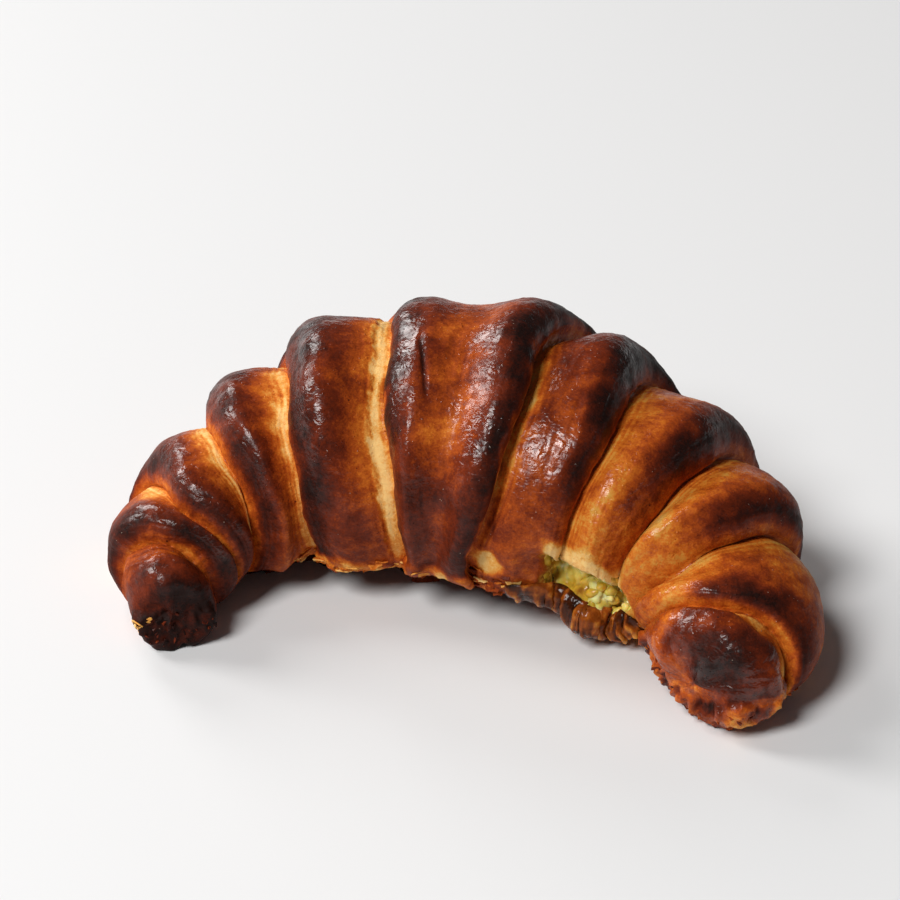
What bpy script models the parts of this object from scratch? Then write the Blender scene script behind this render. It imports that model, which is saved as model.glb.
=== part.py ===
"""A crescent-shaped gluten-free croissant, baked dark: one solid of eleven turns of rolled dough.

Frame: +X from the left tip to the right tip, +Y to the convex back, +Z up. The origin is under the middle of
the croissant's box, on the surface that it lies on. Sizes are in millimetres until the mesh is made.
"""

from collections import namedtuple

import bpy
import numpy as np

MM = 0.001

# One ring of the surface: place along the roll, half width, height, how far open it is, which way it is tucked
# under a rim (-1, 0 or 1), and place in turns.
Ring = namedtuple("Ring", "s half high open tuck turns")

# The turns of the roll, from the left tip to the right tip. Each has its length along the roll, its half width
# across it, and its height.
Turn = namedtuple("Turn", "name length half high")
TURNS = (
    Turn("left_tip", 13.5, 9.9, 20.4),
    Turn("left_4", 9.8, 15.9, 25.2),
    Turn("left_3", 16.0, 18.2, 32.2),
    Turn("left_2", 17.4, 23.6, 42.3),
    Turn("left_1", 22.5, 28.2, 53.7),
    Turn("middle", 33.8, 35.2, 59.6),
    Turn("right_1", 18.4, 32.4, 53.6),
    Turn("right_2", 18.5, 29.2, 45.0),
    Turn("right_3", 17.6, 24.0, 35.5),
    Turn("right_4", 16.5, 19.0, 28.0),
    Turn("right_tip", 12.0, 15.7, 24.0),
)
MIDDLE = 5

# Each seam's line, from one end of the roll to the other. With a slant it lies further right at the inner side
# and further left at the back. With a bow it lies further left over the inner shoulder and right over the back's.
SEAM_SLANT = (0.0, -3.0, -7.0, -7.5, 1.5, 5.5, -7.4, -3.4, 2.0, 6.5, -0.2, 0.0)
SEAM_BOW = (0.0, 0.5, 2.4, -0.6, 3.2, 1.8, -3.6, -3.4, -2.0, -0.3, -1.5, 0.0)
WAVER = 0.7

# The right tip spreads back over the last turns low on its inner side. Each number says how far that moves the seam
# of the same place in CREEP_SEAMS towards the middle.
CREEP_SEAMS = (8, 9, 10, 11)
TIP_CREEP = (0.0, 4.5, 13.0, 0.0)
CREEP_ANGLE, CREEP_HALF_ANGLE = np.radians(225.0), np.radians(70.0)

# The crescent's bend: the roll's heading at each tip, and how much of it is an even arc.
BEND_LEFT = np.radians(119.0)
BEND_RIGHT = np.radians(115.0)
EVEN_BEND = 0.25
BEND_POWER = 1.7
CROWD_LIMIT = 0.86

# One turn's relief, outwards from the seam that it comes out of, over its crest, and down to its own rim, which
# stands a step above the next turn. The middle turn has a rim at each side, a saddle between them, and a lean.
CREST_SHARE = 0.64
SEAM_DROP = 1.8
RIM_STEP = 2.2
RIM_LIMIT = 0.95
SADDLE_DROP, SADDLE_SHARE = 3.2, 0.46
MIDDLE_LEAN = 2.4
CREVICE = 0.7
# How far a turn starts under the rim that covers it, and how far clear of it on the flat base.
TUCK, CLEAR = 1.0, 0.4

# The cross-section: where its widest level is, and how much lower than a flat base its round would reach.
WIDEST_LEVEL = 0.45
BASE_OVERREACH = 1.12

# The blunt ends of the roll: where the closing round starts, and how square it is.
CLOSE_SHARE = 0.3
CLOSE_SQUARENESS = 2.35

# The burst seam, low on the inner side of the right arm: its gaping mouth, and the lip of torn dough below it.
BURST_START, BURST_END = 20.0, 76.0
MOUTH_DEPTH, MOUTH_ANGLE, MOUTH_HALF_ANGLE = 5.5, np.radians(190.0), np.radians(14.0)
LIP_REACH, LIP_ANGLE, LIP_HALF_ANGLE = 5.0, np.radians(214.0), np.radians(16.0)
PLEAT_PITCH = 7.0
PLEAT_DEPTH = 0.9

# Slow swells of the surface, as hand-rolled dough has.
SWELL = 0.45
SWELL_COUNT = 7

# Points round one ring, as (from, to, count): back and top, inner flank, base, and the foot of the back.
ROUND = ((0.0, 172.0, 23), (172.0, 232.0, 15), (232.0, 297.0, 5), (297.0, 360.0, 7))


def seams():
    """Places of the turns' edges along the roll, with 0 at the middle of the middle turn."""
    edges = np.concatenate([[0.0], np.cumsum([turn.length for turn in TURNS])])
    return edges - (edges[MIDDLE] + edges[MIDDLE + 1]) / 2


EDGES = seams()


def heading(s):
    """Heading of the roll's centre line from +X. Both arms turn towards -Y."""
    share = np.clip(np.where(s > 0, s / EDGES[-1], s / EDGES[0]), 0.0, 1.0)
    bend = EVEN_BEND * share + (1 - EVEN_BEND) * (0.5 - 0.5 * np.cos(np.pi * share**BEND_POWER))
    return np.where(s > 0, -BEND_RIGHT, BEND_LEFT) * bend


def centre_line(steps=4000):
    """Points of the roll's centre line, as (place along it, x, y), from its heading."""
    s = np.linspace(EDGES[0] - 10.0, EDGES[-1] + 10.0, steps)
    way = heading((s[1:] + s[:-1]) / 2)
    x = np.concatenate([[0.0], np.cumsum(np.cos(way) * np.diff(s))])
    y = np.concatenate([[0.0], np.cumsum(np.sin(way) * np.diff(s))])
    return s, x - np.interp(0.0, s, x), y - np.interp(0.0, s, y)


LINE = centre_line()


def place(s, across, z):
    """Points at s along the roll, at a distance across it towards the back, and at a height.

    The inner side keeps clear of the bend's own centre, so that the turns crowd there but never cross.
    """
    way = heading(s)
    tightness = np.abs(heading(s + 1.0) - heading(s - 1.0)) / 2.0
    across = np.maximum(across, -CROWD_LIMIT / np.maximum(tightness, 1e-3))
    x = np.interp(s, LINE[0], LINE[1]) - np.sin(way) * across
    y = np.interp(s, LINE[0], LINE[2]) + np.cos(way) * across
    return np.stack([x, y, z], axis=-1)


def bump(x):
    """A smooth hump: 1 at 0, and 0 from 1 outwards."""
    x = np.clip(np.abs(x), 0.0, 1.0)
    return (1 - x * x) ** 2


def rim_size(i, outward):
    """Half width and height of turn i at its rim towards turn i + outward."""
    turn, under = TURNS[i], TURNS[i + outward]
    half = min(under.half - SEAM_DROP + RIM_STEP, turn.half * RIM_LIMIT)
    return half, min(under.high - SEAM_DROP + RIM_STEP, turn.high * RIM_LIMIT)


def rising_side(i):
    """(share of the turn outwards, half width, height) from the seam that turn i comes out of to its crest."""
    turn = TURNS[i]
    drops = [(share, SEAM_DROP * (1 - share / CREST_SHARE) ** 2) for share in (0.07, 0.17, 0.3, 0.46)]
    return [(share, turn.half - drop, turn.high - drop) for share, drop in drops]


def shoulder(i, outward):
    """The round from a turn's crest over to its rim, which stands upright."""
    turn, (half, high) = TURNS[i], rim_size(i, outward)
    made = []
    for a in np.radians((0.0, 25.0, 48.0, 68.0, 90.0)):
        fall = 1 - np.cos(a)
        share = CREST_SHARE + (1 - CREST_SHARE) * np.sin(a)
        made.append((share, turn.half + fall * (half - turn.half), turn.high + fall * (high - turn.high)))
    return made


def middle_profile():
    """(share from left to right, half width, height) for the middle turn."""
    turn = TURNS[MIDDLE]
    right = [((1 + share) / 2, half, high) for share, half, high in shoulder(MIDDLE, 1)]
    left = [((1 - share) / 2, half, high) for share, half, high in reversed(shoulder(MIDDLE, -1))]
    saddle = []
    for share in (0.26, 0.36, 0.48, 0.6, 0.72):
        drop = SADDLE_DROP * bump((share - SADDLE_SHARE) / 0.34)
        saddle.append((share, turn.half - drop, turn.high - drop))
    lean = [MIDDLE_LEAN * (share - 0.5) for share, _, _ in left + saddle + right]
    return [(share, half + up, high + up) for (share, half, high), up in zip(left + saddle + right, lean)]


def turn_profile(i):
    """(share from left to right, half width, height) for the rings of turn i."""
    if i == MIDDLE:
        return middle_profile()
    outward = 1 if i > MIDDLE else -1
    if i in (0, len(TURNS) - 1):
        profile = rising_side(i)[:3]
    else:
        profile = rising_side(i) + shoulder(i, outward)
    return profile if outward > 0 else [(1 - share, half, high) for share, half, high in reversed(profile)]


def end_rings(i):
    """Rings that close the roll at turn i as a squarish round, in the order from its seam outwards."""
    turn = TURNS[i]
    seam, end = (EDGES[i], EDGES[i + 1]) if i > MIDDLE else (EDGES[i + 1], EDGES[i])
    power, made = 2 / CLOSE_SQUARENESS, []
    for a in np.radians((2.0, 16.0, 31.0, 46.0, 60.0, 73.0, 84.0)):
        share = CLOSE_SHARE + (1 - CLOSE_SHARE) * np.sin(a) ** power
        turns = i + share if i > MIDDLE else i + 1 - share
        made.append(Ring(seam + share * (end - seam), turn.half, turn.high, np.cos(a) ** power, 0, turns))
    return made


def turn_rings(i):
    """Rings of turn i from left to right."""
    turn, start = TURNS[i], EDGES[i]
    rings = [
        Ring(start + share * turn.length, half, high, 1.0, 0, i + share) for share, half, high in turn_profile(i)
    ]
    drop = SEAM_DROP + CREVICE
    if i < MIDDLE:
        rings.append(Ring(start + turn.length, turn.half - drop, turn.high - drop, 1.0, 1, i + 1))
    if i > MIDDLE:
        rings.insert(0, Ring(start, turn.half - drop, turn.high - drop, 1.0, -1, i))
    if i == 0:
        rings = end_rings(i)[::-1] + rings
    if i == len(TURNS) - 1:
        rings += end_rings(i)
    return rings


def stray(turns, angle):
    """How far a ring strays along the roll from a flat cut, by its slant, bow and waver, and the tip's creep."""
    slant = np.interp(turns, range(len(SEAM_SLANT)), SEAM_SLANT)
    bow = np.interp(turns, range(len(SEAM_BOW)), SEAM_BOW)
    waver = np.sin(3 * angle + 2.1 * turns) + 0.6 * np.sin(7 * angle + 5.3 * turns)
    inside = bump(2 * turns / len(TURNS) - 1) ** 0.25
    creep = np.interp(turns, CREEP_SEAMS, TIP_CREEP) * bump((angle - CREEP_ANGLE) / CREEP_HALF_ANGLE)
    return bow * np.sin(2 * angle) - slant * np.cos(angle) + WAVER * inside * waver - creep


def swells(along, angle):
    """Slow swells of the surface, each a wave along and round the roll."""
    rng = np.random.default_rng(23)
    height = np.zeros_like(along + angle)
    for _ in range(SWELL_COUNT):
        length, waves, phase = rng.uniform(16.0, 45.0), rng.integers(1, 5), rng.uniform(0.0, 2 * np.pi, 2)
        height += np.sin(2 * np.pi * along / length + phase[0]) * np.cos(waves * angle + phase[1])
    return SWELL * height


def burst(along, angle):
    """How far the burst seam sinks in, below zero, and its pleated lip stands out, above zero."""
    span = bump((2 * along - BURST_START - BURST_END) / (BURST_END - BURST_START)) ** 0.5
    mouth = -MOUTH_DEPTH * bump((angle - MOUTH_ANGLE) / MOUTH_HALF_ANGLE)
    pleats = LIP_REACH + PLEAT_DEPTH * np.sin(2 * np.pi * along / PLEAT_PITCH)
    return span * (mouth + pleats * bump((angle - LIP_ANGLE) / LIP_HALF_ANGLE))


def ring_points(ring, angle):
    """One ring of the surface. The angle is 0 at the back, 90 degrees on top and 180 at the inner side."""
    tuck = np.interp(np.sin(angle), (-0.8, -0.2), (-CLEAR, TUCK))
    along = ring.s + stray(ring.turns, angle) + ring.tuck * tuck
    out = ring.open * (burst(along, angle) + swells(along, angle))
    widest = WIDEST_LEVEL * ring.high
    reach = np.where(np.sin(angle) > 0, ring.high - widest, widest * BASE_OVERREACH)
    across = (ring.half * ring.open + out) * np.cos(angle)
    z = widest + (reach * ring.open + out) * np.sin(angle)
    return place(along, across, np.maximum(z, 0.0))


def round_angles():
    """Angles of the points round one ring."""
    return np.radians(np.concatenate([np.linspace(a, b, count, endpoint=False) for a, b, count in ROUND]))


def roll_mesh(name):
    """The whole roll as one closed mesh of rings, with a point at each end."""
    angle = round_angles()
    rings = [ring_points(ring, angle) for i in range(len(TURNS)) for ring in turn_rings(i)]
    points = np.concatenate(rings + [np.array([rings[0].mean(axis=0), rings[-1].mean(axis=0)])])
    around, last = len(angle), len(rings) * len(angle)
    faces = []
    for k in range(around):
        n = (k + 1) % around
        faces.append((last, n, k))
        faces.append((last + 1, last - around + k, last - around + n))
        for a in range(0, last - around, around):
            b = a + around
            faces.append((a + k, a + n, b + n, b + k))
    points[:, 0] -= (points[:, 0].min() + points[:, 0].max()) / 2
    points[:, 1] -= (points[:, 1].min() + points[:, 1].max()) / 2
    mesh = bpy.data.meshes.new(name)
    mesh.from_pydata((points * MM).tolist(), [], faces)
    mesh.validate()
    mesh.update()
    return mesh


def browned_crust():
    """The one material of the solid: dark egg-washed crust."""
    material = bpy.data.materials.new("browned_crust")
    material.use_nodes = True
    shader = material.node_tree.nodes["Principled BSDF"]
    shader.inputs["Base Color"].default_value = (0.27, 0.075, 0.02, 1.0)
    shader.inputs["Roughness"].default_value = 0.42
    shader.inputs["Metallic"].default_value = 0.0
    return material


def main():
    for old in list(bpy.data.objects):
        bpy.data.objects.remove(old)
    croissant = bpy.data.objects.new("croissant", roll_mesh("croissant"))
    bpy.context.scene.collection.objects.link(croissant)
    croissant.data.materials.append(browned_crust())
    croissant.data.shade_smooth()
    croissant.data.set_sharp_from_angle(angle=np.radians(50.0))


main()
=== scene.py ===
"""The looks of the gluten-free croissant: its stage, its browned crust and the torn dough of its burst seam.

Sizes are in millimetres and become metres at the mesh. Angles round the roll are in degrees: 0 is the convex
back, 90 the top, 180 the inner side of the crescent and 270 the base.
"""

from collections import namedtuple

import bmesh
import bpy
import numpy as np
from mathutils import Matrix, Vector


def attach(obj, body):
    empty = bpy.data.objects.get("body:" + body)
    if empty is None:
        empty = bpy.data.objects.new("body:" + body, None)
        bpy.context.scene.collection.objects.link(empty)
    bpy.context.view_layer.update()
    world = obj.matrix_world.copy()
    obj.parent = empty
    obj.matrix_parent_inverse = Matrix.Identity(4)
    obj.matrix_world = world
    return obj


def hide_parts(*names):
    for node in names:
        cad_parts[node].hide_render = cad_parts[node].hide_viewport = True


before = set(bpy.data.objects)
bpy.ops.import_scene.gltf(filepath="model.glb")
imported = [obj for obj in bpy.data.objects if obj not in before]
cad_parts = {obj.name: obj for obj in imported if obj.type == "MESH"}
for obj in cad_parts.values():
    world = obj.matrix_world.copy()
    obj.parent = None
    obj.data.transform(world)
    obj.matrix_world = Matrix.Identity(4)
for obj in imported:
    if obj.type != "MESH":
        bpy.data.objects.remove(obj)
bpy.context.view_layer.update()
MM = 0.001


# Camera
# A long lens looks down on the croissant from in front, a little from its right, as in the photograph.
CAMERA_AZIMUTH, CAMERA_HEIGHT, CAMERA_DISTANCE = 11.3, 34.0, 560.0
CAMERA_AIM = (-6.65, 2.7, 30.0)
FOCAL_LENGTH, SENSOR_WIDTH = 102.5, 36.0
CLIP_NEAR, CLIP_FAR = 10.0, 20000.0

swing, rise = np.radians(CAMERA_AZIMUTH), np.radians(CAMERA_HEIGHT)
back = np.array([np.sin(swing) * np.cos(rise), -np.cos(swing) * np.cos(rise), np.sin(rise)])
camera = bpy.data.objects.new("camera", bpy.data.cameras.new("camera"))
camera.data.lens, camera.data.sensor_width = FOCAL_LENGTH, SENSOR_WIDTH
camera.data.clip_start, camera.data.clip_end = CLIP_NEAR * MM, CLIP_FAR * MM
camera.location = Vector((np.array(CAMERA_AIM) + CAMERA_DISTANCE * back) * MM)
camera.rotation_euler = Vector(back).to_track_quat("Z", "Y").to_euler()
bpy.context.scene.collection.objects.link(camera)
bpy.context.scene.camera = camera
bpy.context.scene.view_settings.view_transform = "Standard"


# Light
# Three soft windows, all towards the left: one beside the croissant, one behind it and one high up in front.
Window = namedtuple("Window", "name place width height power colour")
WINDOWS = (
    Window("window_left", (-2050.0, 420.0, 1300.0), 800.0, 1500.0, 33.5, (1.0, 0.99, 0.975)),
    Window("window_back", (-1400.0, 1650.0, 1100.0), 700.0, 1300.0, 18.5, (1.0, 0.99, 0.975)),
    Window("window_front", (-820.0, -1080.0, 1700.0), 800.0, 1100.0, 39.5, (1.0, 0.995, 0.985)),
)
LIGHT_AIM = (0.0, 0.0, 20.0)
ROOM_COLOUR, ROOM_STRENGTH = (0.96, 0.98, 1.0, 1.0), 0.06

for window in WINDOWS:
    lamp = bpy.data.lights.new(window.name, "AREA")
    lamp.energy, lamp.color = window.power, window.colour
    lamp.shape, lamp.size, lamp.size_y = "ELLIPSE", window.width * MM, window.height * MM
    light = bpy.data.objects.new(window.name, lamp)
    light.location = Vector(window.place) * MM
    light.rotation_euler = (light.location - Vector(LIGHT_AIM) * MM).to_track_quat("Z", "Y").to_euler()
    bpy.context.scene.collection.objects.link(light)
world = bpy.data.worlds.new("pale_room")
world.use_nodes = True
room = world.node_tree.nodes["Background"]
room.inputs["Color"].default_value = ROOM_COLOUR
room.inputs["Strength"].default_value = ROOM_STRENGTH
bpy.context.scene.world = world


# Floor
# A pale matt sheet that the croissant lies on, with no edge in view. The small classes here write the finishes
# of all the pieces: Link is one value of a finish, with arithmetic, and Finish is a material with its nodes.
FLOOR_COLOUR, FLOOR_HALF = (0.80, 0.80, 0.805), 6000.0


class Link:
    """One value inside a finish. Sums and products of it add Math nodes."""

    def __init__(self, finish, socket):
        self.finish, self.socket = finish, socket

    def math(self, operation, *others):
        values = {k: other for k, other in enumerate((self,) + others)}
        return self.finish.add("ShaderNodeMath", {"operation": operation}, values)

    def __add__(self, other):
        return self.math("ADD", other)

    def __mul__(self, other):
        return self.math("MULTIPLY", other)

    def __sub__(self, other):
        return self.math("SUBTRACT", other)

    def __rsub__(self, other):
        return self.finish.add("ShaderNodeMath", {"operation": "SUBTRACT"}, {0: other, 1: self})

    __radd__, __rmul__ = __add__, __mul__

    def between(self, low, high, start=0.0, end=1.0):
        """Maps low..high to start..end smoothly and holds the ends."""
        values = {0: self, 1: low, 2: high, 3: start, 4: end}
        return self.finish.add("ShaderNodeMapRange", {"interpolation_type": "SMOOTHSTEP"}, values)


class Finish:
    """A material and its nodes: the principled shader, and what feeds it."""

    def __init__(self, name, **settings):
        self.material = bpy.data.materials.new(name)
        self.material.use_nodes = True
        self.tree = self.material.node_tree
        self.shader = self.tree.nodes["Principled BSDF"]
        self.feed(self.shader, settings)

    def feed(self, node, values):
        """Sets a node's sockets, by name or number, to numbers, colours or links."""
        for key, value in values.items():
            socket = node.inputs[key.replace("_", " ") if isinstance(key, str) else key]
            if isinstance(value, Link):
                self.tree.links.new(value.socket, socket)
            elif hasattr(socket.default_value, "__len__") and len(socket.default_value) == 4:
                socket.default_value = (*value[:3], 1.0)
            else:
                socket.default_value = value

    def add(self, kind, settings=None, values=None, output=0):
        """Adds a node: its settings come first, then its sockets."""
        node = self.tree.nodes.new(kind)
        for key, value in (settings or {}).items():
            if key == "stops":
                ramp = node.color_ramp.elements
                while len(ramp) < len(value):
                    ramp.new(0.5)
                for stop, (position, colour) in zip(ramp, value):
                    stop.position, stop.color = position, (*colour, 1.0)
            else:
                setattr(node, key, value)
        self.feed(node, values or {})
        return Link(self, node.outputs[output])

    def mix(self, factor, low, high):
        """Mixes two colours."""
        return self.add("ShaderNodeMix", {"data_type": "RGBA"}, {0: factor, 6: low, 7: high}, 2)

    def painted(self, name):
        """A value painted on the mesh's points."""
        return self.add("ShaderNodeAttribute", {"attribute_name": name}, output=2)

    def places(self, stretch=(1.0, 1.0, 1.0)):
        """Places on the piece in millimetres."""
        seat = self.add("ShaderNodeTexCoord", output=3)
        scale = tuple(k / MM for k in stretch)
        return self.add("ShaderNodeVectorMath", {"operation": "MULTIPLY"}, {0: seat, 1: scale})

    def grain(self, size, detail=2.0, rough=0.5, where=None, warp=0.0):
        """Cloudy noise with clouds of a size in millimetres."""
        values = {"Vector": where or self.places(), "Scale": 1.0 / size}
        values |= {"Detail": detail, "Roughness": rough, "Distortion": warp}
        return self.add("ShaderNodeTexNoise", None, values)

    def cells(self, size):
        """Distance from the middles of scattered cells of a size in millimetres."""
        values = {"Vector": self.places(), "Scale": 1 / size}
        return self.add("ShaderNodeTexVoronoi", {"feature": "F1"}, values)

    def ramp(self, stops, factor):
        """A colour from a row of stops, each with its position and colour."""
        return self.add("ShaderNodeValToRGB", {"stops": stops}, {0: factor})

    def bump(self, height, depth):
        """A bump of a depth in millimetres for a height of 1."""
        return self.add("ShaderNodeBump", None, {"Height": height, "Distance": depth * MM, "Strength": 1.0})


floor_finish = Finish("pale_sheet", Base_Color=FLOOR_COLOUR, Roughness=0.62, Specular_IOR_Level=0.3)
floor_mesh = bpy.data.meshes.new("floor")
floor_bm = bmesh.new()
bmesh.ops.create_grid(floor_bm, x_segments=1, y_segments=1, size=FLOOR_HALF * MM)
floor_bm.to_mesh(floor_mesh)
floor_bm.free()
floor = bpy.data.objects.new("floor", floor_mesh)
floor.data.materials.append(floor_finish.material)
bpy.context.scene.collection.objects.link(floor)


# The rolled crust
# One long strip of laminated dough, rolled up from its wide end, bent into a crescent, brushed with egg and
# baked. Its eleven turns step down to the tips, each with a dark glossy shoulder, a thin edge, and a pale strip
# where the next turn comes out.
Turn = namedtuple("Turn", "name length half high")
TURNS = (
    Turn("left_tip", 13.5, 9.9, 20.4),
    Turn("left_4", 9.8, 15.9, 25.2),
    Turn("left_3", 16.0, 18.2, 32.2),
    Turn("left_2", 17.4, 23.6, 42.3),
    Turn("left_1", 22.5, 28.2, 53.7),
    Turn("middle", 33.8, 35.2, 59.6),
    Turn("right_1", 18.4, 32.4, 53.6),
    Turn("right_2", 18.5, 29.2, 45.0),
    Turn("right_3", 17.6, 24.0, 35.5),
    Turn("right_4", 16.5, 19.0, 28.0),
    Turn("right_tip", 12.0, 15.7, 24.0),
)
MIDDLE, LAST = 5, 10
SEAM_SLANT = (0.0, -3.0, -7.0, -7.5, 1.5, 5.5, -7.4, -3.4, 2.0, 6.5, -0.2, 0.0)
SEAM_BOW = (0.0, 0.5, 2.4, -0.6, 3.2, 1.8, -3.6, -3.4, -2.0, -0.3, -1.5, 0.0)
WAVER = 0.7
TIP_CREEP, CREEP_ANGLE, CREEP_HALF_ANGLE = (0.0, 4.5, 13.0, 0.0), 225.0, 70.0
BEND_LEFT, BEND_RIGHT, EVEN_BEND, BEND_POWER = np.radians(119.0), np.radians(115.0), 0.25, 1.7
CROWD_LIMIT = 0.86
CREST_SHARE, SEAM_DROP, RIM_STEP, RIM_LIMIT = 0.64, 1.8, 2.2, 0.95
SADDLE_DROP, SADDLE_SHARE, SADDLE_HALF, MIDDLE_LEAN = 3.2, 0.46, 0.34, 2.4
CREVICE, TUCK, CLEAR, RIM_LIP, RIM_TUCK = 0.7, 1.0, 0.4, 0.9, 0.25
SOFT_SPAN = 2.6
WIDEST_LEVEL, BASE_OVERREACH = 0.45, 1.12
CLOSE_SHARE, CLOSE_SQUARENESS = 0.3, 2.35
BURST_START, BURST_END = 20.0, 76.0
MOUTH_DEPTH, MOUTH_ANGLE, MOUTH_HALF_ANGLE = 5.5, 190.0, 14.0
LIP_REACH, LIP_ANGLE, LIP_HALF_ANGLE = 5.0, 214.0, 16.0
SWELL, SWELL_COUNT = 0.45, 7
CENTRING = (4.25, -10.33)
EDGES = np.concatenate([[0.0], np.cumsum([t.length for t in TURNS])])
EDGES -= (EDGES[MIDDLE] + EDGES[MIDDLE + 1]) / 2


def heading(s):
    """Heading of the roll's centre line from +X. Both arms turn towards -Y."""
    share = np.clip(np.where(s > 0, s / EDGES[-1], s / EDGES[0]), 0.0, 1.0)
    bend = EVEN_BEND * share + (1 - EVEN_BEND) * (0.5 - 0.5 * np.cos(np.pi * share**BEND_POWER))
    return np.where(s > 0, -BEND_RIGHT, BEND_LEFT) * bend


LINE_S = np.linspace(EDGES[0] - 10.0, EDGES[-1] + 10.0, 4000)
_way = heading((LINE_S[1:] + LINE_S[:-1]) / 2)
LINE_X = np.concatenate([[0.0], np.cumsum(np.cos(_way) * np.diff(LINE_S))])
LINE_Y = np.concatenate([[0.0], np.cumsum(np.sin(_way) * np.diff(LINE_S))])
LINE_X -= np.interp(0.0, LINE_S, LINE_X) + CENTRING[0]
LINE_Y -= np.interp(0.0, LINE_S, LINE_Y) + CENTRING[1]


def place(s, across, z):
    """Points at s along the roll, at a distance across it towards the back, and at a height."""
    way = heading(s)
    tightness = np.abs(heading(s + 1.0) - heading(s - 1.0)) / 2.0
    across = np.maximum(across, -CROWD_LIMIT / np.maximum(tightness, 1e-3))
    x = np.interp(s, LINE_S, LINE_X) - np.sin(way) * across
    y = np.interp(s, LINE_S, LINE_Y) + np.cos(way) * across
    return np.stack([x, y, z], axis=-1)


def bump(x):
    """A smooth hump: 1 at 0, and 0 from 1 outwards."""
    x = np.clip(np.abs(x), 0.0, 1.0)
    return (1 - x * x) ** 2


def step(x, low, high):
    """Rises smoothly from 0 at low to 1 at high."""
    x = np.clip((x - low) / (high - low), 0.0, 1.0)
    return x * x * (3 - 2 * x)


def clouds(points, size, seed):
    """Smooth noise between -1 and 1, with lumps of a size."""
    q = points / size + seed * 7.31
    cell = np.floor(q)
    part = q - cell
    part = part * part * (3 - 2 * part)
    total = 0.0
    for corner in np.ndindex(2, 2, 2):
        spot = (cell + corner) @ np.array([127.1, 311.7, 74.7])
        value = np.modf(np.sin(spot + seed) * 43758.5453)[0]
        weight = np.prod(np.where(corner, part, 1 - part), axis=-1)
        total = total + value * weight
    return total


Ring = namedtuple("Ring", "s half high open tuck turns out wall")


def rim_slope(turn, next_turn, number):
    """Shares, half widths and heights from a turn's crest to its rim, and the rim's half width and height."""
    half = min(next_turn.half - SEAM_DROP + RIM_STEP, turn.half * RIM_LIMIT)
    high = min(next_turn.high - SEAM_DROP + RIM_STEP, turn.high * RIM_LIMIT)
    slope = []
    for a in np.radians(np.linspace(0.0, 90.0, number)):
        fall = 1 - np.cos(a)
        share = CREST_SHARE + (1 - CREST_SHARE) * np.sin(a)
        slope.append((share, turn.half + fall * (half - turn.half), turn.high + fall * (high - turn.high)))
    return slope, half, high


def side_rings(i):
    """Rings of a side turn or a tip, from the seam that it comes out of, outwards to its rim or its end."""
    turn, sign = TURNS[i], 1 if i > MIDDLE else -1
    seam = EDGES[i] if i > MIDDLE else EDGES[i + 1]
    made = []

    def ring(share, half, high, opening=1.0, tuck=0.0, wall=0.0):
        turns_in = i + share if sign > 0 else i + 1 - share
        s = seam + sign * share * turn.length
        made.append(Ring(s, half, high, opening, -sign * tuck, turns_in, share, wall))

    drop = SEAM_DROP + CREVICE
    ring(0.0, turn.half - drop, turn.high - drop, tuck=1.0, wall=1.0)
    tip = i in (0, LAST)
    rise_end = CLOSE_SHARE if tip else CREST_SHARE
    for share in np.linspace(0.05, rise_end, 9 if tip else 24, endpoint=False):
        drop = SEAM_DROP * (1 - share / CREST_SHARE) ** 2
        ring(share, turn.half - drop, turn.high - drop)
    if tip:
        power = 2 / CLOSE_SQUARENESS
        for a in np.radians(np.linspace(1.0, 88.0, 44)):
            share = CLOSE_SHARE + (1 - CLOSE_SHARE) * np.sin(a) ** power
            ring(share, turn.half, turn.high, np.cos(a) ** power)
        return made
    slope, half, high = rim_slope(turn, TURNS[i + sign], 20)
    for spot in slope:
        ring(*spot)
    ring(1.0, half - RIM_LIP, high - RIM_LIP, tuck=-RIM_TUCK, wall=0.5)
    return made


def middle_rings():
    """Rings of the middle turn from its left rim to its right one."""
    turn, made = TURNS[MIDDLE], []

    def ring(share, half, high, tuck=0.0, wall=0.0):
        lean = MIDDLE_LEAN * (share - 0.5)
        out = abs(2 * share - 1)
        s = EDGES[MIDDLE] + share * turn.length
        made.append(Ring(s, half + lean, high + lean, 1.0, tuck, MIDDLE + share, out, wall))

    for sign in (-1, 1):
        slope, half, high = rim_slope(turn, TURNS[MIDDLE + sign], 22)
        slope = [(0.5 + sign * share / 2, *size) for share, *size in slope]
        if sign < 0:
            ring(0.0, half - RIM_LIP, high - RIM_LIP, tuck=RIM_TUCK, wall=0.5)
            for spot in reversed(slope):
                ring(*spot)
            for share in np.linspace(0.5 - CREST_SHARE / 2, 0.5 + CREST_SHARE / 2, 40)[1:-1]:
                drop = SADDLE_DROP * bump((share - SADDLE_SHARE) / SADDLE_HALF)
                ring(share, turn.half - drop, turn.high - drop)
        else:
            for spot in slope:
                ring(*spot)
            ring(1.0, half - RIM_LIP, high - RIM_LIP, tuck=-RIM_TUCK, wall=0.5)
    return made


rings = []
for i in range(len(TURNS)):
    if i < MIDDLE:
        rings += side_rings(i)[::-1]
    elif i == MIDDLE:
        rings += middle_rings()
    else:
        rings += side_rings(i)


def softened(ring):
    """A ring averaged in half width and height over the crest near it, so that no crease runs round."""
    if ring.wall > 0 or ring.open < 1:
        return ring
    whole = [mate for mate in rings if mate.wall == 0 and mate.open == 1]
    mates = sorted((m.s, m.half, m.high) for m in whole if int(m.turns - 1e-6) == int(ring.turns - 1e-6))
    s, half, high = np.array(mates).T
    span = min(SOFT_SPAN, ring.s - s[0], s[-1] - ring.s)
    near, weight = ring.s + span * np.linspace(-1, 1, 11), np.bartlett(13)[1:-1]
    return ring._replace(half=np.average(np.interp(near, s, half), weights=weight),
                         high=np.average(np.interp(near, s, high), weights=weight))


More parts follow.
